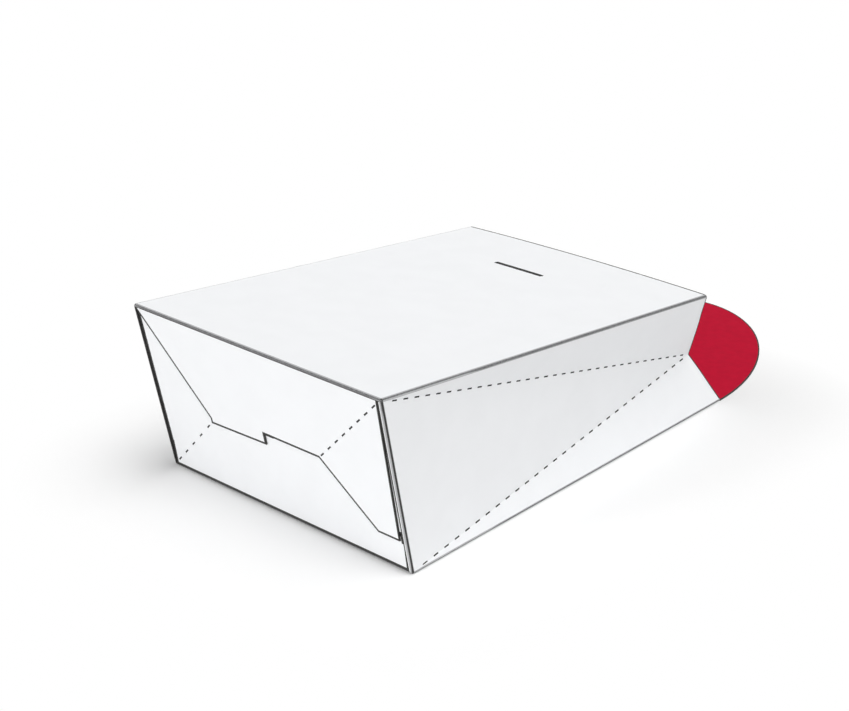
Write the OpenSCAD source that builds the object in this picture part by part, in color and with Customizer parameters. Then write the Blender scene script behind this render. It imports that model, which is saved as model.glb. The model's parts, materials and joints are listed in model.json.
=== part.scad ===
// Paperboard bag carton with V-gusset sides, a hooked crash-lock bottom and a tuck flap.
// It lies on its back panel with the mouth open: X across, Y from the bottom to the mouth, Z up.
// The origin is the middle of the back panel's outer face.

/* [Carton] */
// Width of the front and back panels
panel_w = 140; // [100:1:180]
// Length of the front and back panels, from the bottom fold to the top edge
panel_h = 214; // [150:1:280]
// Depth of the bottom, from the back fold to the front fold
bottom_d = 82; // [60:1:110]
// Outward lean of the bottom from square with the back panel, in degrees
bottom_lean = 11.87; // [0:0.01:20]
// Slope of the front panel down to the mouth, in degrees
front_slope = 5.81; // [1:0.01:9]

/* [Board] */
// Thickness of the paperboard
board_t = 0.5; // [0.3:0.05:0.8]
// Outer radius of a folded crease
fold_r = 1; // [0.9:0.1:1.6]
// Air between two flaps that lie on each other unglued
lap_gap = 0.15; // [0.05:0.05:0.3]

/* [Gussets] */
// How far the meeting point of the V creases is drawn in from the side
gusset_in = 11.8; // [4:0.1:22]
// Height of that point above the back panel
gusset_z = 24.2; // [15:0.1:32]
// How far that point stands back from the back panel's top edge
gusset_back = 11.3; // [2:0.1:20]

/* [Bottom flaps] */
// Flat width of each bottom crease that shows beyond its bend
rim_flat = 0.3; // [0.2:0.05:0.8]
// Width of the strip between the near crease and the front flap's glue tab
strip_w = 0.8; // [0.5:0.1:2]
// Steepness of the front flap's long free cut, in degrees
flap_cut = 52.2; // [46:0.1:62]
// Length of the short upright end of that cut
cut_upright = 2.6; // [0.5:0.1:5]
// How far the front flap laps past the middle of the bottom at its long cut
lap_cut = 6.5; // [3:0.1:9]
// The same lap at the hook
lap_hook = 5.2; // [3:0.1:9]
// Distance of the hook from the middle of the width
hook_x = 1.8; // [0:0.1:6]
// Distance of the glue tab's straight end from the back fold
tab_end = 15; // [10:0.5:22]
// How far the glue tab's outer edge slants away from the strip
tab_slant = 1.6; // [0.5:0.1:4]
// Width of the back flap's square shoulder beside the near crease
shoulder_w = 10; // [6:0.5:14]
// How far that shoulder reaches under the glue tab
shoulder_lap = 3; // [1.5:0.5:6]
// Reach of the minor flaps from their own folds
minor_reach = 36; // [25:0.5:40]
// Taper of the minor flaps at each end, in degrees
minor_taper = 15; // [5:1:30]
// Free space between the cut edges of neighbouring flaps
flap_kerf = 0.5; // [0.3:0.1:1]

/* [Glue seam] */
// Width of the seam flap glued inside the back panel
seam_w = 14; // [8:0.5:20]
// Distance of the seam flap from the top edge and from the bottom
seam_margin = 2.5; // [1:0.5:6]

/* [Slit] */
// Length of the slit that takes the tuck flap
slit_l = 28; // [15:0.5:60]
// Width of the slit
slit_w = 0.8; // [0.4:0.1:1.5]
// Distance of the slit from the front panel's top edge
slit_down = 41.5; // [20:0.5:70]
// Sideways place of the slit from the middle of the panel
slit_x = -5.5; // [-20:0.5:20]

/* [Tuck flap] */
// Length of the flap from its fold to its tip
flap_l = 98; // [50:0.5:105]
// Fullness of the flap's round outline: 2 is an ellipse
flap_full = 1.9; // [1.7:0.05:2.6]

/* [Scores] */
// Length of one dash of a broken score
dash_l = 2.8; // [1.5:0.1:4.5]
// Distance from one dash to the next on the side panels and the front flap's tab
dash_pitch = 6.7; // [5.5:0.1:10]
// The same on the back flap's tab
tab_pitch = 9; // [6:0.1:12]
// Width of a dash
dash_w = 0.7; // [0.3:0.05:0.9]
// Depth of a dash in the board
dash_depth = 0.25; // [0.1:0.05:0.3]

/* [Hidden] */

paperboard = "#f4f5f6";
print_red = "#bd1f36";

// Parts of a quarter turn at each rounded crease, and steps along the flap's outline
bend_steps = 4;
outline_steps = 48;
// Reach of shapes that cut everything on one side, and of those that only clear the board
spare = 3 * panel_h;
clear_by = 5;
// How far the closed blocks run on past the mouth before it is cut
overrun = 12;
// How far glued layers sink into each other
glue_bite = 0.08;
// How far the bottom's inner cuts run on into the bag
inner_clear = 1;
// The back flap's slope: its depth at the fold, how far it starts in the crease's flat,
// how far it stops short of the glue tab, and how far its end sinks into the flap
ramp_depth = 0.05;
ramp_lead = 0.3;
ramp_short = 1;
ramp_sink = 0.02;
// Height of the cut above a broken score
dash_clear = 2;

layer = board_t + lap_gap;
bottom_in = board_t + layer;
bend_in = fold_r - board_t;
crease_rim = fold_r + rim_flat;
near_rim = crease_rim + strip_w;
bottom_y = -panel_h / 2;
top_y = panel_h / 2;
half_w = panel_w / 2;
mid_v = bottom_d / 2;
cut_v = mid_v - lap_cut;
shoulder_v = tab_end + shoulder_lap;
ramp_from = crease_rim - ramp_lead;
ramp_to = tab_end - ramp_short;
ramp_fall = atan2(layer + ramp_sink - ramp_depth, ramp_to - ramp_from);
// Distance from the back fold at which the slope meets the flat of the flap
ramp_meet = ramp_to - ramp_sink / tan(ramp_fall);

// Directions in the side view: outwards from each panel, and along each panel to the mouth
out_back = [0, 0, -1];
out_front = [0, sin(front_slope), cos(front_slope)];
out_bottom = [0, -cos(bottom_lean), -sin(bottom_lean)];
out_mouth = [0, 1, 0];
out_side = [1, 0, 0];
along_back = [0, 1, 0];
along_front = [0, cos(front_slope), -sin(front_slope)];
up_bottom = [0, -sin(bottom_lean), cos(bottom_lean)];

back_fold = [0, bottom_y, 0];
front_fold = back_fold + bottom_d * up_bottom;
front_top = front_fold + panel_h * along_front;
back_top = back_fold + panel_h * along_back;
gusset_point = [half_w - gusset_in, top_y - gusset_back, gusset_z];

function unit(v) = v / norm(v);
function mirrored(v) = [-v[0], v[1], v[2]];

// Middle of the bend between the bottom and the back or front panel,
// for a skin set in by wall_in behind the panels and by floor_in behind the bottom
function back_bend(r, wall_in, floor_in) =
    let (z = wall_in + r, w = floor_in + r)
    [half_w - z, bottom_y + (w - z * sin(bottom_lean)) / cos(bottom_lean), z];
function front_bend(r, wall_in, floor_in) =
    let (z = wall_in + r, w = floor_in + r, turn = front_slope + bottom_lean)
    let (s = (w + z * sin(turn)) / cos(turn))
    front_fold + [half_w - z, 0, 0] + s * along_front - z * out_front;

// Points on a ball of radius r about c, spread between the outward directions of three panels
function bead(c, r, a, b, d) =
    [for (i = [0:bend_steps]) for (j = [0:bend_steps - i])
        c + r * unit(i * a + j * b + (bend_steps - i - j) * d)];

// Outward direction of a gusset panel that hinges on a bend through c along d
// and passes through the meeting point of the V creases
function gusset_out(c, d) =
    let (p = gusset_point - c)
    let (q = p - (p * d) * d)
    let (m = unit(cross(q, d)), s = fold_r / norm(q))
    s * unit(q) + sqrt(1 - s * s) * (m[0] > 0 ? m : -m);

bend_back = back_bend(fold_r, 0, 0);
bend_front = front_bend(fold_r, 0, 0);
out_upper = gusset_out(bend_front, along_front);
out_centre = gusset_out(bend_back, unit(bend_front - bend_back));
out_lower = gusset_out(bend_back, along_back);

// Everything outside the plane that faces along n and passes through p
module outside(n, p) {
    a = unit(cross(abs(n[0]) > 0.5 ? [0, 0, 1] : [1, 0, 0], n));
    b = cross(n, a);
    multmatrix([
        [a[0], b[0], n[0], p[0]],
        [a[1], b[1], n[1], p[1]],
        [a[2], b[2], n[2], p[2]],
        [0, 0, 0, 1]
    ])
        translate([-spare, -spare, 0]) cube(2 * spare);
}

// A shape drawn in the side view and stretched across the width
module across(w) {
    rotate([90, 0, 90]) linear_extrude(w, center = true) children();
}

// A shape drawn on the bottom, from its outer face inwards between two depths
module on_bottom(from, to) {
    translate(back_fold) rotate([90 + bottom_lean, 0, 0])
        translate([0, 0, -to]) linear_extrude(to - from) children();
}

// A shape drawn on the front panel, cut through it
module through_front() {
    translate(front_fold) rotate([-front_slope, 0, 0])
        translate([0, 0, -2 * board_t]) linear_extrude(4 * board_t) children();
}

// Closed block with rounded creases, before its gussets are pushed in
module block(r, wall_in, floor_in) {
    low = back_bend(r, wall_in, floor_in);
    high = front_bend(r, wall_in, floor_in);
    past = overrun + wall_in;
    near = concat(
        bead(low, r, out_back, out_bottom, out_side),
        bead(high, r, out_front, out_bottom, out_side),
        bead([low[0], top_y + past, low[2]], r, out_back, out_mouth, out_side),
        bead(high + (panel_h + past) * along_front, r, out_front, out_mouth, out_side)
    );
    points = concat(near, [for (p = near) mirrored(p)]);
    hull() polyhedron(points, [[for (i = [0:len(points) - 1]) i]]);
}

// The wedge of air outside one V gusset
module gusset_wedge(r) {
    intersection() {
        outside(out_upper, bend_front + r * out_upper);
        outside(out_centre, bend_back + r * out_centre);
        outside(out_lower, bend_back + r * out_lower);
    }
}

module gusseted_block(r, wall_in, floor_in) {
    difference() {
        block(r, wall_in, floor_in);
        gusset_wedge(r);
        mirror([1, 0, 0]) gusset_wedge(r);
    }
}

// Everything past the top edges: both panels are cut square, the gussets straight to their point
module past_mouth() {
    far = front_top + spare * along_front;
    rise = clear_by * out_front;
    across(2 * panel_w) polygon([
        [front_top[1] + rise[1], front_top[2] + rise[2]],
        [front_top[1] - board_t * out_front[1], front_top[2] - board_t * out_front[2]],
        [gusset_point[1], gusset_point[2]],
        [back_top[1], board_t],
        [back_top[1], -clear_by],
        [far[1], -clear_by],
        [far[1], front_top[2] + rise[2]]
    ]);
}

// Outlines of the flaps, drawn on the bottom with the back fold at 0

module bottom_window() {
    translate([crease_rim - half_w, crease_rim])
        square([panel_w - crease_rim - near_rim, bottom_d - 2 * crease_rim]);
}

module front_flap_outline() {
    crease_x = half_w - mid_v;
    cut_x = (bottom_d - cut_v - cut_upright) / tan(flap_cut) - half_w;
    polygon([
        [-half_w, bottom_d + clear_by],
        [-half_w, bottom_d],
        [cut_x, cut_v + cut_upright],
        [cut_x, cut_v],
        [-hook_x, mid_v - lap_hook],
        [-hook_x, mid_v],
        [crease_x, mid_v],
        [crease_x + mid_v - tab_end, tab_end],
        [half_w - near_rim - tab_slant, tab_end],
        [half_w - near_rim - flap_kerf / 2, bottom_d - crease_rim],
        [half_w, bottom_d],
        [half_w, bottom_d + clear_by]
    ]);
}

module back_flap_outline() {
    rim_x = half_w - crease_rim - flap_kerf;
    end_x = half_w - near_rim - flap_kerf;
    crease_x = half_w - mid_v;
    polygon([
        [-half_w, -clear_by],
        [-half_w, crease_rim],
        [-rim_x, crease_rim + flap_kerf],
        [-rim_x, mid_v + rim_x - crease_x],
        [-crease_x, mid_v],
        [hook_x, mid_v],
        [hook_x, mid_v + lap_hook],
        [near_cut_x(mid_v + lap_hook), mid_v + lap_hook],
        [near_cut_x(shoulder_v), shoulder_v],
        [end_x, shoulder_v],
        [end_x, crease_rim + flap_kerf],
        [half_w, crease_rim],
        [half_w, -clear_by]
    ]);
}

// Place of the back flap's hidden cut beside the near minor flap, at distance v from the back fold
function near_cut_x(v) = half_w - near_rim - shoulder_w - (v - shoulder_v) / tan(flap_cut);

module near_minor_outline() {
    low = shoulder_v + flap_kerf;
    high = bottom_d - crease_rim - flap_kerf;
    polygon([
        [half_w + clear_by, low],
        [near_cut_x(low) + flap_kerf, low],
        [near_cut_x(mid_v) + flap_kerf, mid_v],
        [half_w - minor_reach, high - minor_reach * tan(minor_taper)],
        [half_w, high],
        [half_w + clear_by, high]
    ]);
}

module far_minor_outline() {
    low = crease_rim + flap_kerf;
    high = bottom_d - crease_rim - flap_kerf;
    rise = minor_reach * tan(minor_taper);
    polygon([
        [-half_w + board_t / 2, low],
        [-half_w + minor_reach, low + rise],
        [-half_w + minor_reach, high - rise],
        [-half_w + board_t / 2, high]
    ]);
}

// Where the bottom is one, two or no layers thick, cut back from a double layer
module bottom_cuts() {
    on_bottom(-clear_by, layer) difference() {
        bottom_window();
        front_flap_outline();
    }
    on_bottom(board_t, layer) intersection() {
        bottom_window();
        front_flap_outline();
        back_flap_outline();
    }
    on_bottom(board_t, bottom_in + inner_clear) difference() {
        bottom_window();
        back_flap_outline();
        near_minor_outline();
    }
}

// The back flap slopes in from its fold until it lies under the front flap
module back_flap_ramp() {
    w = panel_w - 2 * near_rim;
    on_bottom_side(w) polygon([
        [ramp_from, ramp_depth],
        [ramp_to, layer + ramp_sink],
        [ramp_to, layer + glue_bite],
        [ramp_from, layer + glue_bite]
    ]);
}

// A shape drawn in the side view of the bottom, up from the back fold and inwards
module on_bottom_side(w) {
    translate(back_fold) rotate([90 + bottom_lean, 0, 0])
        rotate([90, 0, 90]) linear_extrude(w, center = true) mirror([0, 1]) children();
}

// Broken score from p to q in a surface that faces along n, with its dashes about a pitch apart
module broken_score(p, q, n, pitch) {
    e = unit(q - p);
    side = cross(n, e);
    count = max(1, round(norm(q - p) / pitch));
    for (k = [1:count]) {
        c = p + (k - 0.5) / count * (q - p);
        multmatrix([
            [e[0], side[0], n[0], c[0]],
            [e[1], side[1], n[1], c[1]],
            [e[2], side[2], n[2], c[2]],
            [0, 0, 0, 1]
        ])
            translate([-dash_l / 2, -dash_w / 2, -dash_depth])
                cube([dash_l, dash_w, dash_depth + dash_clear]);
    }
}

// Score along the crease where two gusset panels that face along a and b meet,
// from the corner whose bend is at c to the meeting point of the V creases
module crease_score(a, b, c) {
    d = unit(cross(a, b));
    start = gusset_point + ((c - gusset_point) * d) * d;
    short = dash_pitch / 2 * unit(gusset_point - start);
    broken_score(start + short, gusset_point - short, unit(a + b), dash_pitch);
}

module gusset_scores() {
    crease_score(out_upper, out_centre, bend_front);
    crease_score(out_lower, out_centre, bend_back);
}

// Scores of the two glue tabs, each from its corner towards the middle of the bottom
module tab_scores() {
    ramp_start = layer + ramp_sink - (ramp_to - near_rim) * tan(ramp_fall);
    broken_score(
        bottom_point(half_w - near_rim, bottom_d - near_rim, 0),
        bottom_point(half_w - mid_v, bottom_d - mid_v, 0),
        out_bottom,
        dash_pitch
    );
    broken_score(
        bottom_point(near_rim - half_w, near_rim, ramp_start),
        bottom_point(ramp_meet - half_w, ramp_meet, layer),
        cos(ramp_fall) * out_bottom + sin(ramp_fall) * up_bottom,
        tab_pitch
    );
    broken_score(
        bottom_point(ramp_meet - half_w, ramp_meet, layer),
        bottom_point(cut_v - half_w, cut_v, layer),
        out_bottom,
        tab_pitch
    );
}

// Point on the bottom at x, at v from the back fold and at a depth inwards
function bottom_point(x, v, depth) = back_fold + [x, 0, 0] + v * up_bottom - depth * out_bottom;

module slit() {
    s = panel_h - slit_down;
    through_front() translate([slit_x, s]) {
        square([slit_l - slit_w, slit_w], center = true);
        for (side = [-1, 1])
            translate([side * (slit_l - slit_w) / 2, 0]) circle(d = slit_w, $fn = 24);
    }
}

module seam_flap() {
    edge = -half_w + fold_r;
    y0 = bottom_y + bottom_in + seam_margin;
    y1 = top_y - seam_margin;
    translate([0, 0, board_t - glue_bite]) linear_extrude(board_t + glue_bite) polygon([
        [edge, y0],
        [edge + seam_w, y0 + seam_w / 3],
        [edge + seam_w, y1 - seam_w / 3],
        [edge, y1]
    ]);
}

module carton() {
    color(paperboard) {
        difference() {
            union() {
                difference() {
                    gusseted_block(fold_r, 0, 0);
                    gusseted_block(bend_in, board_t, bottom_in);
                    past_mouth();
                    bottom_cuts();
                }
                back_flap_ramp();
            }
            slit();
            gusset_scores();
            mirror([1, 0, 0]) gusset_scores();
            tab_scores();
        }
        on_bottom(bottom_in - glue_bite, bottom_in + board_t) far_minor_outline();
        seam_flap();
    }
}

// Round outline of the tuck flap, from one end of its fold round its tip to the other
function flap_curve() =
    [for (i = [0:outline_steps])
        let (a = 180 * i / outline_steps, c = cos(a), s = sin(a))
        [half_w * sign(c) * pow(abs(c), 2 / flap_full), top_y + flap_l * pow(s, 2 / flap_full)]];

module tuck_flap() {
    color(print_red) linear_extrude(board_t) polygon(flap_curve());
}

carton();
tuck_flap();
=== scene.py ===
"""Folded paperboard bag carton with a red tuck flap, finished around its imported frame."""

import json
from math import cos, pi, radians, sin

import bmesh
import bpy
from bpy.props import FloatProperty, FloatVectorProperty, PointerProperty
from bpy.types import Operator, Panel, PropertyGroup
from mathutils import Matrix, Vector
from mathutils.bvhtree import BVHTree


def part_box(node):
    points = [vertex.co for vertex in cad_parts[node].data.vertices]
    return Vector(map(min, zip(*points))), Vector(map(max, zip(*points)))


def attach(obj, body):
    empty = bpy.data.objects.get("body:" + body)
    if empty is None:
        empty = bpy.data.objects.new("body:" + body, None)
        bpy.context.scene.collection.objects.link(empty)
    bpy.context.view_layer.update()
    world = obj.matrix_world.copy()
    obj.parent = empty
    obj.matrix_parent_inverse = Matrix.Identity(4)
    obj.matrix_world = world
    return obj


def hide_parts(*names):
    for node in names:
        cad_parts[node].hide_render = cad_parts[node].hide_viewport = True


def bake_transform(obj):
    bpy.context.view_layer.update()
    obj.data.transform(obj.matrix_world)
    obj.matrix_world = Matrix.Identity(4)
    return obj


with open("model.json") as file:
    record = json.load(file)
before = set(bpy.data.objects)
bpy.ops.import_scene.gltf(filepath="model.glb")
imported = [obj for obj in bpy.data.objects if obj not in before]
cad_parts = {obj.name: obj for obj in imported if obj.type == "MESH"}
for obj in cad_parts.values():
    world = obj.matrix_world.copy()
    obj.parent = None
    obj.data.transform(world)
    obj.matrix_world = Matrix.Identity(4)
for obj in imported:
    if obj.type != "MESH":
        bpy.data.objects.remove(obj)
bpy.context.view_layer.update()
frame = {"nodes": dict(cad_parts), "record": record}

bl_info = {
    "name": "Paperboard Bag Carton",
    "version": (1, 0, 0),
    "blender": (4, 5, 0),
    "location": "View3D > Sidebar > Bag",
    "description": "Finishes a folded paperboard bag carton and its tuck flap",
    "category": "Object",
}

MICRON = 0.000001
MM = 0.001

# Places in the carton's list of materials, and in the flap's
COATED, UNCOATED, CORE = 0, 1, 2
PRINTED, CUT = 0, 1

# Distances that count as one point, as on a cut, as just under a face and as in its plane
ONE_POINT = 2 * MICRON
ON_CUT = MICRON / 10
UNDER_FACE = 5 * MICRON
IN_PLANE = 50 * MICRON

# Largest turns that count as one face, as one side of the board, as flat with a panel for
# its shading, as parallel with it, as square with it, and as its outer or inner side
ONE_FACE = 0.003
ONE_SIDE = radians(1)
SHADED_FLAT = radians(2)
PARALLEL = radians(3)
SQUARE = radians(5)
ON_PANEL = radians(8)

# Smallest turns that show as an edge between two panels, and anywhere
PANEL_EDGE = radians(6)
SHARP_EDGE = radians(35)

# Turn away from a panel that counts as the middle of its fold
MID_FOLD = radians(40)

# Least share of a face's normal along a line for the face to count as facing along it
FACING = 0.5

# In boards: what counts as a whole one and as more than one, the most that face each other
# through a panel and through a fold, and how deep the layers near a panel go
WHOLE_BOARD = 0.8
OVER_ONE_BOARD = 1.2
PANEL_LAYERS = 4
FOLD_LAYERS = 2.5
NEAR_PANEL = 6

# In fold radii: how far inside its folds a panel is clear of them
CLEAR_OF_FOLD = 1.1

# Width of the camera's sensor in millimetres
SENSOR_WIDTH = 36


class CartonSizes(PropertyGroup):
    """Where the carton's folds run, how far its panels bow, and how wide its dark edges are, as
    wear and painted shade.
    """

    bottom_depth: FloatProperty(
        name="Bottom depth",
        description="From the back fold to the front fold",
        default=82 * MM,
        subtype="DISTANCE",
        unit="LENGTH",
    )
    bottom_lean: FloatProperty(
        name="Bottom lean",
        description="Outward lean of the bottom from square with the back panel",
        default=radians(11.87),
        subtype="ANGLE",
        unit="ROTATION",
    )
    front_slope: FloatProperty(
        name="Front slope",
        description="Slope of the front panel down to the mouth",
        default=radians(5.81),
        subtype="ANGLE",
        unit="ROTATION",
    )
    gusset_inset: FloatProperty(
        name="Gusset inset",
        description="How far the meeting point of the V creases is drawn in",
        default=11.8 * MM,
        subtype="DISTANCE",
        unit="LENGTH",
    )
    gusset_height: FloatProperty(
        name="Gusset height",
        description="Height of that point above the back panel",
        default=24.2 * MM,
        subtype="DISTANCE",
        unit="LENGTH",
    )
    gusset_setback: FloatProperty(
        name="Gusset setback",
        description="How far that point stands back from the back panel's top edge",
        default=11.3 * MM,
        subtype="DISTANCE",
        unit="LENGTH",
    )
    board: FloatProperty(
        name="Board",
        description="Thickness of the paperboard",
        default=0.5 * MM,
        subtype="DISTANCE",
        unit="LENGTH",
    )
    largest_score: FloatProperty(
        name="Largest score",
        description="More than the floor of one dash of a broken score, in square metres",
        default=4 * MM * MM,
        precision=6,
    )
    # The rims are dark along each cut: crushed or rubbed coat, and painted shade along the cut.
    rim: FloatProperty(
        name="Crushed rim",
        description="Width of coat that the cutting die crushed along each cut",
        default=0.65 * MM,
        subtype="DISTANCE",
        unit="LENGTH",
    )
    free_rim: FloatProperty(
        name="Rubbed rim",
        description="The same along free edges one board deep, which rub as the bag is used",
        default=1 * MM,
        subtype="DISTANCE",
        unit="LENGTH",
    )
    shortest_edge: FloatProperty(
        name="Shortest edge",
        description="Cuts and folds shorter than this keep their coat",
        default=1.5 * MM,
        subtype="DISTANCE",
        unit="LENGTH",
    )
    fold: FloatProperty(
        name="Fold radius",
        description="Outer radius of the rounded folds",
        default=1 * MM,
        subtype="DISTANCE",
        unit="LENGTH",
    )
    # The fold band and fold edge set how the folds darken: cracked coat, and painted shade beside
    # each fold.
    fold_wear_and_shade_band: FloatProperty(
        name="Fold band",
        description="Width beside each rounded fold in which its worn coat fades",
        default=0.3 * MM,
        subtype="DISTANCE",
        unit="LENGTH",
    )
    fold_edge: FloatProperty(
        name="Fold edge",
        description="Least wear on a rounded fold, as a share of the wear in mid fold",
        default=0.5,
    )
    cell: FloatProperty(
        name="Cell",
        description="Spacing of the cuts that let the panels bow",
        default=8 * MM,
        subtype="DISTANCE",
        unit="LENGTH",
    )
    front_bow: FloatProperty(
        name="Front bow",
        description="How far the middle of the front panel stands proud of its folds",
        default=0.5 * MM,
        subtype="DISTANCE",
        unit="LENGTH",
    )
    bottom_bow: FloatProperty(
        name="Bottom bow",
        description="The same for the bottom",
        default=0.5 * MM,
        subtype="DISTANCE",
        unit="LENGTH",
    )
    gusset_bow: FloatProperty(
        name="Gusset bow",
        description="How far the middle of each gusset panel moves in or out",
        default=0.2 * MM,
        subtype="DISTANCE",
        unit="LENGTH",
    )


class FlapSizes(PropertyGroup):
    """How the tuck flap bends at its crease and curls."""

    crease: FloatProperty(
        name="Crease width",
        description="Length of board that bends when the flap is lifted",
        default=0.8 * MM,
        subtype="DISTANCE",
        unit="LENGTH",
    )
    crease_ring: FloatProperty(
        name="Crease ring",
        description="Spacing of the rings of points across the crease",
        default=0.1 * MM,
        subtype="DISTANCE",
        unit="LENGTH",
    )
    cell: FloatProperty(
        name="Cell",
        description="Spacing of the cuts that let the flap curl",
        default=7 * MM,
        subtype="DISTANCE",
        unit="LENGTH",
    )
    curl: FloatProperty(
        name="Curl",
        description="How far the tip lifts off the table",
        default=0.8 * MM,
        subtype="DISTANCE",
        unit="LENGTH",
    )


class BoardColours(PropertyGroup):
    """Colours of the board and its print."""

    white: FloatVectorProperty(
        name="White coat",
        description="Coated outer face",
        default=(0.92, 0.93, 0.945),
        subtype="COLOR",
        size=3,
    )
    inside: FloatVectorProperty(
        name="Inside",
        description="Uncoated inner face",
        default=(0.84, 0.83, 0.8),
        subtype="COLOR",
        size=3,
    )
    # The core colour also paints the shade on the score floors and on the rims beside cuts.
    core: FloatVectorProperty(
        name="Core",
        description="Dark grey core that shows at cuts and scores",
        default=(0.045, 0.044, 0.043),
        subtype="COLOR",
        size=3,
    )
    red: FloatVectorProperty(
        name="Red print",
        description="Print of the tuck flap",
        default=(0.575, 0.007, 0.036),
        subtype="COLOR",
        size=3,
    )
    thin_red: FloatVectorProperty(
        name="Thin red",
        description="Print where the ink is thin",
        default=(0.72, 0.12, 0.14),
        subtype="COLOR",
        size=3,
    )
    cracked_red: FloatVectorProperty(
        name="Cracked red",
        description="Print that has cracked along the crease",
        default=(0.8, 0.68, 0.66),
        subtype="COLOR",
        size=3,
    )
    # Near black along the folds: cracked coat, and painted shade at each fold.
    worn: FloatVectorProperty(
        name="Worn fold",
        description="Coat that has cracked along a fold",
        default=(0.08, 0.08, 0.082),
        subtype="COLOR",
        size=3,
    )


class StageSettings(PropertyGroup):
    """Floor, lamps and camera."""

    floor_width: FloatProperty(
        name="Floor width",
        description="Side of the square floor",
        default=6,
        subtype="DISTANCE",
        unit="LENGTH",
    )
    floor_colour: FloatVectorProperty(
        name="Floor colour",
        description="Pale floor under the bag",
        default=(0.93, 0.93, 0.93),
        subtype="COLOR",
        size=3,
    )
    fade_start: FloatProperty(
        name="Fade start",
        description="Distance from the bag where the floor begins to fade to the backdrop",
        default=2 * MM,
        subtype="DISTANCE",
        unit="LENGTH",
    )
    fade_end: FloatProperty(
        name="Fade end",
        description="Distance from the bag where the floor has faded",
        default=70 * MM,
        subtype="DISTANCE",
        unit="LENGTH",
    )
    sky: FloatProperty(
        name="Sky",
        description="Even light from all round",
        default=0.2,
    )
    key: FloatProperty(
        name="Key lamp",
        description="Share of full light from the bottom's side",
        default=0.432,
    )
    side: FloatProperty(
        name="Side lamp",
        description="Share of full light from the near side",
        default=0.236,
    )
    back: FloatProperty(
        name="Back lamp",
        description="Share of full light from the mouth's side",
        default=0.5,
    )
    camera_place: FloatVectorProperty(
        name="Camera place",
        description="Where the camera stands",
        default=(459.9 * MM, -532.2 * MM, 343.1 * MM),
        subtype="TRANSLATION",
        unit="LENGTH",
        size=3,
    )
    camera_turn: FloatVectorProperty(
        name="Camera turn",
        description="Tilt, roll and turn of the camera",
        default=(radians(90 - 23.5), 0, radians(42.07)),
        subtype="EULER",
        unit="ROTATION",
        size=3,
    )
    lens: FloatProperty(
        name="Lens",
        description="Focal length on a 36 mm wide sensor",
        default=73.28,
        unit="CAMERA",
    )


def merged_copy(node):
    """A bmesh of a frame node, with its loose triangles joined and its flat faces whole."""
    shape = bmesh.new()
    shape.from_mesh(frame["nodes"][node].data)
    bmesh.ops.remove_doubles(shape, verts=shape.verts, dist=ONE_POINT)
    bmesh.ops.dissolve_limit(shape, angle_limit=ONE_FACE, verts=shape.verts, edges=shape.edges)
    return shape


def cut_level(shape, axis, place):
    """Cuts every face at one level along an axis."""
    level = Vector((0, 0, 0))
    level[axis] = place
    normal = Vector((0, 0, 0))
    normal[axis] = 1
    everything = shape.verts[:] + shape.edges[:] + shape.faces[:]
    bmesh.ops.bisect_plane(shape, geom=everything, dist=ON_CUT, plane_co=level, plane_no=normal)


def cut_cells(shape, box, cell, axes):
    """Cuts the faces into cells between the two corners of a box."""
    for axis in axes:
        length = box[1][axis] - box[0][axis]
        count = max(1, round(length / cell))
        for step in range(1, count):
            cut_level(shape, axis, box[0][axis] + length * step / count)
    many_sided = [face for face in shape.faces if len(face.verts) > 4]
    bmesh.ops.triangulate(shape, faces=many_sided)


class BoardPanel:
    """A flat panel between folds. Its corners run so that its face points outwards.

    The free edge is the place in the corners where an edge begins that isn't a fold.
    """

    def __init__(self, corners, free_edge, depth, bow):
        self.corners = corners
        self.normal = (corners[1] - corners[0]).cross(corners[2] - corners[0]).normalized()
        self.depth = depth
        self.bow = bow
        self.folds = []
        centre = sum(corners, Vector()) / len(corners)
        for index, corner in enumerate(corners):
            if index == free_edge:
                continue
            along = corners[(index + 1) % len(corners)] - corner
            inwards = self.normal.cross(along).normalized()
            self.folds.append((corner, inwards, (centre - corner).dot(inwards)))

    def under(self, point):
        """Depth of a point under the panel's outer face."""
        return (self.corners[0] - point).dot(self.normal)

    def inside(self, point):
        """How far a point lies inside the nearest fold."""
        return min((point - corner).dot(inwards) for corner, inwards, _ in self.folds)

    def push(self, point):
        """How far the bowed panel moves a point of its board, or one just over its face."""
        over = self.depth / 4
        if not -over < self.under(point) < self.depth:
            return Vector()
        share = 1
        for corner, inwards, reach in self.folds:
            distance = (point - corner).dot(inwards)
            if distance <= 0:
                return Vector()
            share *= distance / reach
        return self.normal * self.bow * share


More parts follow.
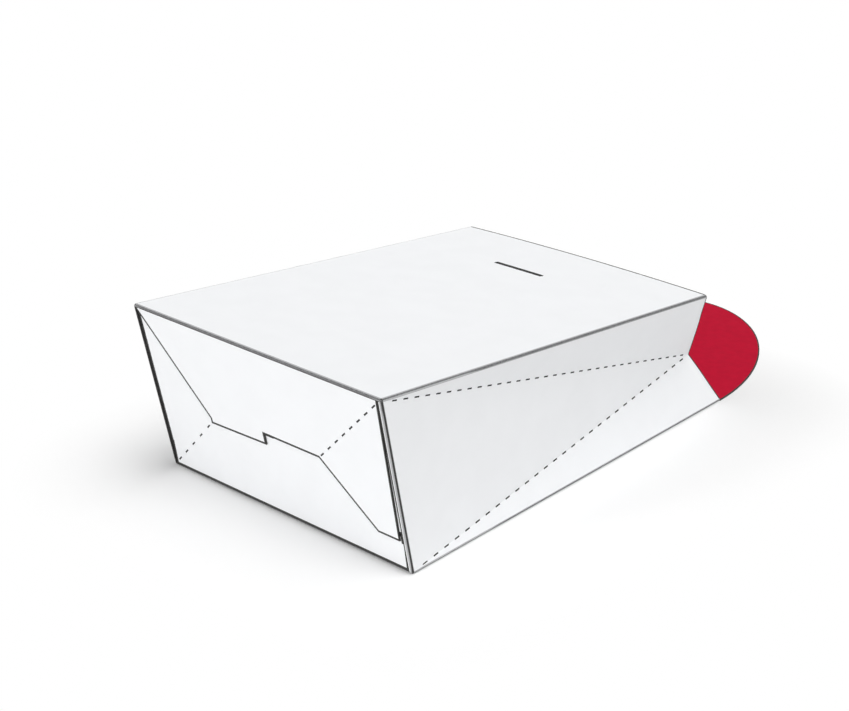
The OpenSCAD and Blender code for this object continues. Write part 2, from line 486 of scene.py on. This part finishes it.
def carton_panels(sizes):
    """The panels of the carton. The back one lies flat on the table, so it doesn't bow."""
    far_x, near_x = (corner.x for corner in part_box("carton"))
    top_y = frame["record"]["behaviour"]["joints"][0]["pos_m"][1]
    lean, slope = sizes.bottom_lean, sizes.front_slope
    up_bottom = Vector((0, -sin(lean), cos(lean))) * sizes.bottom_depth
    along_front = Vector((0, cos(slope), -sin(slope))) * 2 * top_y
    back_fold = Vector((0, -top_y, 0))
    front_fold = back_fold + up_bottom
    front_top = front_fold + along_front
    back_top = Vector((0, top_y, 0))
    gusset = Vector((0, top_y - sizes.gusset_setback, sizes.gusset_height))
    # The layers of a plain panel and of the hooked bottom, with room to spare
    thin, thick = 2 * sizes.board, 4 * sizes.board
    far, near = Vector((far_x, 0, 0)), Vector((near_x, 0, 0))

    def across(first, second):
        """The corners of a panel between two folds that run across the carton."""
        return [first + far, first + near, second + near, second + far]

    panels = [
        BoardPanel(across(front_fold, front_top), 2, thin, sizes.front_bow),
        BoardPanel(across(back_fold, front_fold), None, thick, sizes.bottom_bow),
        BoardPanel(across(back_top, back_fold), 0, thin, 0),
    ]
    for edge, inwards in ((near, -1), (far, 1)):
        drawn_in = gusset + edge + Vector((inwards * sizes.gusset_inset, 0, 0))
        upper = [front_fold + edge, drawn_in, front_top + edge]
        centre = [back_fold + edge, drawn_in, front_fold + edge]
        lower = [back_fold + edge, back_top + edge, drawn_in]
        for corners, free_edge, bow in ((upper, 1, 0.5), (centre, None, -1), (lower, 1, 0.5)):
            if edge is far:
                corners = corners[::-1]
                free_edge = 0 if free_edge else None
            panels.append(BoardPanel(corners, free_edge, thin, bow * sizes.gusset_bow))
    return panels


def inner_points(shape):
    """A point inside each face: the middle of the largest triangle that the face splits into."""
    largest, points = {}, {}
    for corners in shape.calc_loop_triangles():
        face = corners[0].face
        a, b, c = (corner.vert.co for corner in corners)
        area = (b - a).cross(c - a).length
        if area >= largest.get(face, 0):
            largest[face], points[face] = area, (a + b + c) / 3
    return points


def board_behind(tree, point, normal):
    """How far a line runs through board straight in from a face, and how square it comes out."""
    hit, far_side, _, distance = tree.ray_cast(point - normal * UNDER_FACE, -normal)
    return (distance, abs(far_side.dot(normal))) if hit else (1, 0)


def is_score(face, sizes):
    """Whether a face is the floor of a short score, so that the board rises from all its edges."""
    small = face.calc_area() < sizes.largest_score
    return small and not any(edge.is_convex for edge in face.edges)


def is_wall(face, point, sizes, panels):
    """Whether a face stands square in the board of a panel, clear of its rounded folds."""
    for panel in panels:
        square = abs(face.normal.dot(panel.normal)) < sin(SQUARE)
        in_board = 0 < panel.under(point) < panel.depth
        if square and in_board and panel.inside(point) > CLEAR_OF_FOLD * sizes.fold:
            return True
    return False


def sort_faces(shape, sizes, panels, middle):
    """Tells the coated outer faces, the uncoated inner faces and the cut edges apart, and gives the
    score floors the core colour as bared core and painted shade.
    """
    shape.normal_update()
    tree = BVHTree.FromBMesh(shape)
    for face, point in inner_points(shape).items():
        behind, square = board_behind(tree, point, face.normal)
        on_panel = any(abs(face.normal.dot(panel.normal)) > cos(ON_PANEL) for panel in panels)
        deepest = (PANEL_LAYERS if on_panel else FOLD_LAYERS) * sizes.board
        cut = behind > deepest or square < FACING or is_wall(face, point, sizes, panels)
        scored_and_shaded = behind < WHOLE_BOARD * sizes.board or is_score(face, sizes)
        # Score floors take the dark core colour: the core that the score bares, and painted shade
        # in the groove.
        if cut or scored_and_shaded:
            face.material_index = CORE
        elif face.normal.dot(point - middle) > 0:
            face.material_index = COATED
        else:
            face.material_index = UNCOATED


class CoatEdge:
    """A straight edge of a coated face, with the way into the face."""

    def __init__(self, loop, shortest_edge):
        self.start = loop.vert.co.copy()
        self.normal = loop.face.normal.copy()
        along = loop.link_loop_next.vert.co - self.start
        self.length = along.length
        self.along = along.normalized()
        self.inwards = self.normal.cross(self.along)
        # Each end is a corner where a long edge follows, and rounded where a short one does
        beside = (loop.link_loop_prev.edge, loop.link_loop_next.edge)
        self.corners = [edge.calc_length() > shortest_edge for edge in beside]

    def reach(self, rim):
        """Where a rim begins and ends along the edge: past its corners, not its rounded ends."""
        before, past = (rim if corner else 0 for corner in self.corners)
        return -before, self.length + past

    def shares_plane(self, face):
        """Whether a face lies in the same flat side of the board."""
        depth = (face.verts[0].co - self.start).dot(self.normal)
        return face.normal.dot(self.normal) > cos(ONE_SIDE) and abs(depth) < IN_PLANE

    def borders(self, face, point, rim):
        """Whether a face with a point inside it is part of the rim along this edge."""
        place = point - self.start
        begin, end = self.reach(rim)
        beside = begin < place.dot(self.along) < end
        return beside and 0 < place.dot(self.inwards) < rim and self.shares_plane(face)


def coated_edges(shape, sizes, chosen):
    """The coated faces' edges that aren't short and have a face of a chosen kind across them."""
    edges = []
    for face in shape.faces:
        for loop in face.loops if face.material_index == COATED else ():
            across = [other for other in loop.edge.link_faces if other is not face]
            long_enough = loop.edge.calc_length() > sizes.shortest_edge
            if across and long_enough and chosen(loop, across[0]):
                edges.append(CoatEdge(loop, sizes.shortest_edge))
    return edges


def cut_bands(shape, edges, width):
    """Cuts the coated faces beside each edge and at its rounded ends, and moves nothing."""
    for edge in edges:
        ends = zip((0, edge.length), edge.corners)
        lines = [(edge.inwards, width)]
        lines += [(edge.along, end) for end, corner in ends if not corner]
        for away, distance in lines:
            coated = [face for face in shape.faces if face.material_index == COATED]
            side = [face for face in coated if edge.shares_plane(face)]
            parts = {part for face in side for part in (*face.verts, *face.edges, face)}
            bmesh.ops.bisect_plane(
                shape,
                geom=list(parts),
                dist=ON_CUT,
                plane_co=edge.start + away * distance,
                plane_no=away,
            )


def darken_cut_rims(shape, sizes):
    """Gives a rim along each cut the dark core colour: coat that the die crushed, and painted shade
    along the cut.

    Free edges get a wider rim: rubbed coat, and painted shade along them.
    """

    def depth(loop, wall):
        """How many boards deep the cut wall across an edge is."""
        depths = [(loop.vert.co - vert.co).dot(loop.face.normal) for vert in wall.verts]
        return max(depths) / sizes.board if wall.material_index == CORE else 0

    def is_free_edge(loop, wall):
        return WHOLE_BOARD < depth(loop, wall) < OVER_ONE_BOARD

    def is_cut(loop, wall):
        return depth(loop, wall) > WHOLE_BOARD

    for chosen, rim in ((is_free_edge, sizes.free_rim), (is_cut, sizes.rim)):
        cuts = coated_edges(shape, sizes, chosen)
        cut_bands(shape, cuts, rim)
        for face, point in inner_points(shape).items():
            if face.material_index == COATED and any(cut.borders(face, point, rim) for cut in cuts):
                face.material_index = CORE


def panels_near(point, sizes, panels):
    """The panels in whose layers of board a point may lie."""
    return [panel for panel in panels if abs(panel.under(point)) < NEAR_PANEL * sizes.board]


def lies_flat(face, point, sizes, panels):
    """Whether a face is parallel with a panel that it lies in."""
    near = panels_near(point, sizes, panels)
    return any(abs(face.normal.dot(panel.normal)) > cos(PARALLEL) for panel in near)


def cut_fold_bands(shape, sizes, panels):
    """Cuts a narrow band off each panel beside its rounded folds, for the worn coat and painted
    shade to fade in.
    """

    def is_fold(loop, bend):
        place = (loop.vert.co + loop.link_loop_next.vert.co) / 2
        flat_here = lies_flat(loop.face, place, sizes, panels)
        coated = bend.material_index == COATED
        return coated and flat_here and not lies_flat(bend, place, sizes, panels)

    cut_bands(shape, coated_edges(shape, sizes, is_fold), sizes.fold_wear_and_shade_band)


def mark_fold_wear_and_shade(shape, sizes, panels):
    """Stores each point's wear and painted shade: 0 on a panel, and from the fold edge's to 1 in
    mid fold.
    """
    layer = shape.verts.layers.float.new("fold")
    for vert in shape.verts:
        coated = [face for face in vert.link_faces if face.material_index == COATED]
        flat = [face for face in coated if lies_flat(face, vert.co, sizes, panels)]
        if len(flat) == len(coated):
            continue
        near = panels_near(vert.co, sizes, panels)
        normal = sum((face.normal for face in coated), Vector()).normalized()
        best = max((abs(normal.dot(panel.normal)) for panel in near), default=1)
        round_fold = min(1, (1 - best) / (1 - cos(MID_FOLD)))
        vert[layer] = max(round_fold, sizes.fold_edge)


def set_sharp(shape, panels):
    """Shades the rounded folds smoothly, and leaves cut edges and V creases sharp."""
    for face in shape.faces:
        face.smooth = True
    for edge in shape.edges:
        if len(edge.link_faces) != 2:
            continue
        first, second = edge.link_faces
        on_panels = all(
            max(abs(face.normal.dot(panel.normal)) for panel in panels) > cos(SHADED_FLAT)
            for face in (first, second)
        )
        turn = first.normal.angle(second.normal, 0)
        cut = (first.material_index == CORE) != (second.material_index == CORE)
        edge.smooth = not (cut or turn > SHARP_EDGE or (on_panels and turn > PANEL_EDGE))


def finished_piece(name, shape, materials):
    """A new object from a bmesh, with its faces' normals kept flat beside small bends."""
    mesh = bpy.data.meshes.new(name)
    shape.to_mesh(mesh)
    shape.free()
    for material in materials:
        mesh.materials.append(material)
    piece = bpy.data.objects.new(name, mesh)
    bpy.context.scene.collection.objects.link(piece)
    even = piece.modifiers.new("Flat beside folds", "WEIGHTED_NORMAL")
    even.mode = "FACE_AREA"
    even.keep_sharp = True
    return piece


class Finish:
    """A material's nodes, added one at a time and linked as they are named."""

    def __init__(self, name, roughness, specular=0.5):
        self.material = bpy.data.materials.new(name)
        self.material.use_nodes = True
        self.tree = self.material.node_tree
        self.shader = self.tree.nodes["Principled BSDF"]
        self.shader.inputs["Roughness"].default_value = roughness
        self.shader.inputs["Specular IOR Level"].default_value = specular
        self.place = self.add("ShaderNodeTexCoord", {}).outputs["Object"]

    def add(self, kind, inputs, **settings):
        """Adds a node. Each input is a plain value or another node's output."""
        node = self.tree.nodes.new(kind)
        for name, value in settings.items():
            setattr(node, name, value)
        for name, value in inputs.items():
            if isinstance(value, bpy.types.NodeSocket):
                self.tree.links.new(value, node.inputs[name])
            else:
                node.inputs[name].default_value = value
        return node

    def grain(self, size, stretch=(1, 1, 1), detail=3, roughness=0.5):
        """Noise with grains of a size, drawn out along an axis where its stretch is over 1."""
        scale = [1 / (size * share) for share in stretch]
        place = self.add("ShaderNodeMapping", {"Vector": self.place, "Scale": scale}).outputs[0]
        return self.add(
            "ShaderNodeTexNoise",
            {"Vector": place, "Scale": 1, "Detail": detail, "Roughness": roughness},
        ).outputs["Fac"]

    def spread(self, value, low, high, to_low=0, to_high=1):
        """Maps a value between two levels to two others, and holds it there."""
        levels = {"From Min": low, "From Max": high, "To Min": to_low, "To Max": to_high}
        return self.add("ShaderNodeMapRange", {"Value": value, **levels}).outputs[0]

    def times(self, first, second):
        """The product of two values."""
        return self.add("ShaderNodeMath", {0: first, 1: second}, operation="MULTIPLY").outputs[0]

    def plus(self, first, second):
        """The sum of two values."""
        return self.add("ShaderNodeMath", {0: first, 1: second}, operation="ADD").outputs[0]

    def mixed(self, share, first, second):
        """Two colours, mixed by a share of the second."""
        first, second = (
            value if isinstance(value, bpy.types.NodeSocket) else (*value, 1)
            for value in (first, second)
        )
        node = self.add("ShaderNodeMix", {0: share, 6: first, 7: second}, data_type="RGBA")
        return node.outputs[2]

    def stored(self, name):
        """A value that the mesh's points hold."""
        return self.add("ShaderNodeAttribute", {}, attribute_name=name).outputs["Fac"]

    def raise_surface(self, height, depth, strength):
        """Bumps the surface by a height from 0 to 1, over a real depth."""
        inputs = {"Strength": strength, "Distance": depth, "Height": height}
        normal = self.add("ShaderNodeBump", inputs)
        self.tree.links.new(normal.outputs[0], self.shader.inputs["Normal"])

    def finish(self, colour, roughness):
        """Gives the shader its colour and roughness, and returns the material."""
        self.tree.links.new(colour, self.shader.inputs["Base Color"])
        self.tree.links.new(roughness, self.shader.inputs["Roughness"])
        return self.material


def darker(colour, share):
    """A colour with a share of its light."""
    return [value * share for value in colour]


def board_grain(board):
    """Fibres along and across the sheet, and the softer waves of its surface."""
    along = board.grain(0.3 * MM, stretch=(1, 6, 1))
    across = board.grain(0.3 * MM, stretch=(6, 1, 1))
    fine = board.times(board.plus(along, across), 0.5)
    waves = board.grain(7 * MM, detail=2)
    return fine, waves


def coated_board(colours):
    """White coated board: fine fibre under a smooth coat, darkened along the folds as cracked coat
    and painted shade.
    """
    board = Finish("coated_white_board", 0.5, specular=0.3)
    fine, waves = board_grain(board)
    mottle = board.spread(board.grain(14 * MM), 0.35, 0.65)
    plain = board.mixed(mottle, colours.white, darker(colours.white, 0.985))
    fleck = board.spread(board.grain(0.9 * MM, detail=1), 0.74, 0.8)
    flecked = board.mixed(board.times(fleck, 0.12), plain, darker(colours.white, 0.7))
    cracks = board.spread(board.grain(0.5 * MM, detail=4, roughness=0.7), 0.32, 0.62)
    # Darkens the folds: cracked coat, and painted shade at each fold.
    fold = board.spread(board.stored("fold"), 0.1, 0.8)
    worn = board.times(fold, board.spread(cracks, 0, 1, 0.78, 1))
    colour = board.mixed(worn, flecked, colours.worn)
    roughness = board.spread(fine, 0.3, 0.7, 0.46, 0.6)
    height = board.plus(board.times(fine, 0.35), board.times(waves, 0.65))
    board.raise_surface(height, 0.05 * MM, 0.6)
    return board.finish(colour, roughness)


def uncoated_board(colours):
    """The inner face: the same sheet with no coat, so rougher and warmer, with open fibre."""
    board = Finish("uncoated_inner_board", 0.85, specular=0.25)
    fine, waves = board_grain(board)
    mottle = board.spread(board.grain(5 * MM, detail=5), 0.3, 0.7)
    plain = board.mixed(mottle, colours.inside, darker(colours.inside, 0.94))
    fibre = board.spread(fine, 0.52, 0.66)
    colour = board.mixed(board.times(fibre, 0.3), plain, darker(colours.inside, 0.8))
    roughness = board.spread(fine, 0.3, 0.7, 0.78, 0.92)
    height = board.plus(board.times(fine, 0.6), board.times(waves, 0.4))
    board.raise_surface(height, 0.07 * MM, 0.8)
    return board.finish(colour, roughness)


def core_board(colours):
    """Cut edges and scores: the dark core between the plies, torn into short fibres; on the score
    floors and the rims beside cuts it is also painted shade.
    """
    board = Finish("grey_core_and_painted_shade", 0.9, specular=0.2)
    fibres = board.grain(0.12 * MM, stretch=(3, 3, 1), detail=5, roughness=0.65)
    share = board.spread(fibres, 0.35, 0.7)
    colour = board.mixed(share, colours.core, darker(colours.core, 1.5))
    roughness = board.spread(fibres, 0.3, 0.7, 0.84, 0.96)
    board.raise_surface(fibres, 0.06 * MM, 1)
    return board.finish(colour, roughness)


def red_print(colours):
    """Solid red ink on the board: matte, a little uneven, and cracked along the crease."""
    ink = Finish("red_printed_board", 0.5, specular=0.01)
    fine, waves = board_grain(ink)
    mottle = ink.spread(ink.grain(4 * MM, detail=4), 0.35, 0.65)
    solid = ink.mixed(mottle, colours.red, darker(colours.red, 0.92))
    pinhole = ink.spread(ink.grain(0.35 * MM, detail=1), 0.76, 0.8)
    thin = ink.mixed(ink.times(pinhole, 0.25), solid, colours.thin_red)
    cracks = ink.spread(ink.grain(0.25 * MM, detail=4, roughness=0.7), 0.5, 0.6)
    worn = ink.times(ink.stored("fold"), cracks)
    colour = ink.mixed(worn, thin, colours.cracked_red)
    roughness = ink.spread(fine, 0.3, 0.7, 0.36, 0.5)
    height = ink.plus(ink.times(fine, 0.4), ink.times(waves, 0.6))
    ink.raise_surface(height, 0.045 * MM, 0.6)
    return ink.finish(colour, roughness)


class BAG_OT_fold_carton(Operator):
    """Makes the carton's board, with bowed panels, rounded folds darkened by wear and painted
    shade, and dark cut edges with painted shade along them.
    """

    bl_idname = "bag.fold_carton"
    bl_label = "Carton"

    def execute(self, context):
        sizes, colours = context.scene.carton_sizes, context.scene.board_colours
        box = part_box("carton")
        panels = carton_panels(sizes)
        shape = merged_copy("carton")
        sort_faces(shape, sizes, panels, (box[0] + box[1]) / 2)
        darken_cut_rims(shape, sizes)
        cut_fold_bands(shape, sizes, panels)
        cut_cells(shape, box, sizes.cell, (0, 1, 2))
        shape.normal_update()
        mark_fold_wear_and_shade(shape, sizes, panels)
        set_sharp(shape, panels)
        for vert in shape.verts:
            vert.co += sum((panel.push(vert.co) for panel in panels), Vector())
        materials = [coated_board(colours), uncoated_board(colours), core_board(colours)]
        carton = finished_piece("carton_board", shape, materials)
        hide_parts("carton")
        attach(carton, "bag")
        return {"FINISHED"}


def darken_round_rim(shape, rim, crease_end):
    """Leaves the print on both sides of the flap, but for a dark rim along its round edge: crushed
    coat and painted shade.
    """
    shape.normal_update()
    sides = [face for face in shape.faces if abs(face.normal.z) > FACING]
    bmesh.ops.inset_individual(shape, faces=sides, thickness=rim, use_even_offset=True)
    for face in shape.faces:
        at_crease = max(vert.co.y for vert in face.verts) < crease_end
        printed = face in sides or (at_crease and abs(face.normal.z) > FACING)
        face.material_index = PRINTED if printed else CUT


class BAG_OT_print_flap(Operator):
    """Makes the red tuck flap, with rings of points across its crease, and curls it a little."""

    bl_idname = "bag.print_flap"
    bl_label = "Tuck flap"

    def execute(self, context):
        sizes, colours = context.scene.flap_sizes, context.scene.board_colours
        low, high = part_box("tuck_flap")
        shape = merged_copy("tuck_flap")
        rim = context.scene.carton_sizes.rim
        darken_round_rim(shape, rim, low.y + 2 * rim)
        rings = round(sizes.crease / sizes.crease_ring)
        for ring in range(1, rings + 1):
            cut_level(shape, 1, low.y + ring * sizes.crease_ring)
        cut_cells(shape, (low, high), sizes.cell, (0, 1))
        shape.normal_update()
        layer = shape.verts.layers.float.new("fold")
        for face in shape.faces:
            face.smooth = True
        for edge in shape.edges:
            edge.smooth = edge.calc_face_angle(pi) < SHARP_EDGE
        length = high.y - low.y
        for vert in shape.verts:
            along = vert.co.y - low.y
            vert[layer] = max(0, 1 - along / sizes.crease)
            vert.co.z += sizes.curl * (along / length) ** 2
        flap = finished_piece("tuck_flap_board", shape, [red_print(colours), core_board(colours)])
        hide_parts("tuck_flap")
        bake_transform(flap)
        return {"FINISHED"}


def floor_material(settings):
    """Pale floor that keeps the bag's shadow and fades to the white backdrop."""
    floor = Finish("studio_floor", 0.9, specular=0.1)
    floor.shader.inputs["Base Color"].default_value = (*settings.floor_colour, 1)
    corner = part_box("carton")[1]

    def worked_out(operation, *values):
        """The node that works out an operation on places in space."""
        inputs = dict(enumerate(values))
        return floor.add("ShaderNodeVectorMath", inputs, operation=operation).outputs

    sides = worked_out("ABSOLUTE", floor.place)[0]
    past = worked_out("SUBTRACT", sides, (corner.x, corner.y, 0))[0]
    beyond = worked_out("MAXIMUM", past, (0, 0, 0))[0]
    away = worked_out("LENGTH", beyond)["Value"]
    fade = floor.spread(away, settings.fade_start, settings.fade_end)
    eye = floor.add("ShaderNodeLightPath", {}).outputs
    rays = {0: eye["Is Camera Ray"], 1: eye["Is Glossy Ray"]}
    seen = floor.add("ShaderNodeMath", rays, operation="MAXIMUM").outputs[0]
    white = floor.add("ShaderNodeEmission", {"Color": (1, 1, 1, 1), "Strength": 1}).outputs[0]
    layers = {0: floor.times(fade, seen), 1: floor.shader.outputs[0], 2: white}
    mixed = floor.add("ShaderNodeMixShader", layers)
    output = floor.tree.nodes["Material Output"]
    floor.tree.links.new(mixed.outputs[0], output.inputs["Surface"])
    return floor.material


def set_world(sky):
    """Even soft light from all round, seen as a white backdrop."""
    world = bpy.data.worlds.new("studio_backdrop")
    world.use_nodes = True
    nodes, links = world.node_tree.nodes, world.node_tree.links
    light = nodes["Background"]
    light.inputs["Color"].default_value = (1, 1, 1, 1)
    light.inputs["Strength"].default_value = sky
    backdrop = nodes.new("ShaderNodeBackground")
    backdrop.inputs["Color"].default_value = (1, 1, 1, 1)
    backdrop.inputs["Strength"].default_value = 1
    path = nodes.new("ShaderNodeLightPath").outputs
    seen = path["Is Camera Ray"]
    for name in ("Is Glossy Ray", "Is Transmission Ray"):
        either = nodes.new("ShaderNodeMath")
        either.operation = "MAXIMUM"
        links.new(seen, either.inputs[0])
        links.new(path[name], either.inputs[1])
        seen = either.outputs[0]
    mix = nodes.new("ShaderNodeMixShader")
    links.new(seen, mix.inputs[0])
    links.new(light.outputs[0], mix.inputs[1])
    links.new(backdrop.outputs[0], mix.inputs[2])
    links.new(mix.outputs[0], nodes["World Output"].inputs["Surface"])
    bpy.context.scene.world = world


def add_lamp(name, share, turn, height, softness):
    """A distant soft lamp at a turn from the bottom's side and a height, all in degrees."""
    lamp = bpy.data.lights.new(name, "SUN")
    lamp.energy = share * pi
    lamp.angle = radians(softness)
    lit = bpy.data.objects.new(name, lamp)
    lit.rotation_euler = (radians(90 - height), 0, radians(turn))
    bpy.context.scene.collection.objects.link(lit)


class BAG_OT_set_stage(Operator):
    """Makes the pale floor, the soft lamps, the backdrop and the camera."""

    bl_idname = "bag.set_stage"
    bl_label = "Stage"

    def execute(self, context):
        settings = context.scene.bag_stage
        sheet = bmesh.new()
        bmesh.ops.create_grid(sheet, x_segments=1, y_segments=1, size=settings.floor_width / 2)
        mesh = bpy.data.meshes.new("floor")
        sheet.to_mesh(mesh)
        sheet.free()
        mesh.materials.append(floor_material(settings))
        floor = bpy.data.objects.new("floor", mesh)
        context.scene.collection.objects.link(floor)
        set_world(settings.sky)
        add_lamp("key_lamp", settings.key, turn=-20, height=20, softness=12)
        add_lamp("side_lamp", settings.side, turn=60, height=60, softness=50)
        add_lamp("back_lamp", settings.back, turn=120, height=65, softness=50)
        camera = bpy.data.objects.new("camera", bpy.data.cameras.new("camera"))
        camera.data.sensor_width = SENSOR_WIDTH
        camera.data.lens = settings.lens
        camera.location = settings.camera_place
        camera.rotation_euler = settings.camera_turn
        context.scene.collection.objects.link(camera)
        context.scene.camera = camera
        context.scene.view_settings.view_transform = "Standard"
        return {"FINISHED"}


class BAG_PT_panel(Panel):
    """Lists the steps that finish the bag."""

    bl_label = "Bag"
    bl_idname = "BAG_PT_panel"
    bl_space_type = "VIEW_3D"
    bl_region_type = "UI"
    bl_category = "Bag"

    def draw(self, context):
        for operator in OPERATORS:
            self.layout.operator(operator.bl_idname)
        for name in SETTINGS:
            group = getattr(context.scene, name)
            for prop in group.bl_rna.properties:
                if prop.identifier not in {"rna_type", "name"}:
                    self.layout.prop(group, prop.identifier)


OPERATORS = (BAG_OT_fold_carton, BAG_OT_print_flap, BAG_OT_set_stage)
SETTINGS = {
    "carton_sizes": CartonSizes,
    "flap_sizes": FlapSizes,
    "board_colours": BoardColours,
    "bag_stage": StageSettings,
}


def register():
    """Adds the settings, the operators and the panel."""
    for name, group in SETTINGS.items():
        bpy.utils.register_class(group)
        setattr(bpy.types.Scene, name, PointerProperty(type=group))
    for operator in OPERATORS:
        bpy.utils.register_class(operator)
    bpy.utils.register_class(BAG_PT_panel)


def unregister():
    """Takes them away again."""
    bpy.utils.unregister_class(BAG_PT_panel)
    for operator in reversed(OPERATORS):
        bpy.utils.unregister_class(operator)
    for name, group in reversed(SETTINGS.items()):
        delattr(bpy.types.Scene, name)
        bpy.utils.unregister_class(group)


def main():
    """Makes each piece and the stage."""
    register()
    bpy.ops.bag.fold_carton()
    bpy.ops.bag.print_flap()
    bpy.ops.bag.set_stage()


if __name__ == "__main__":
    main()
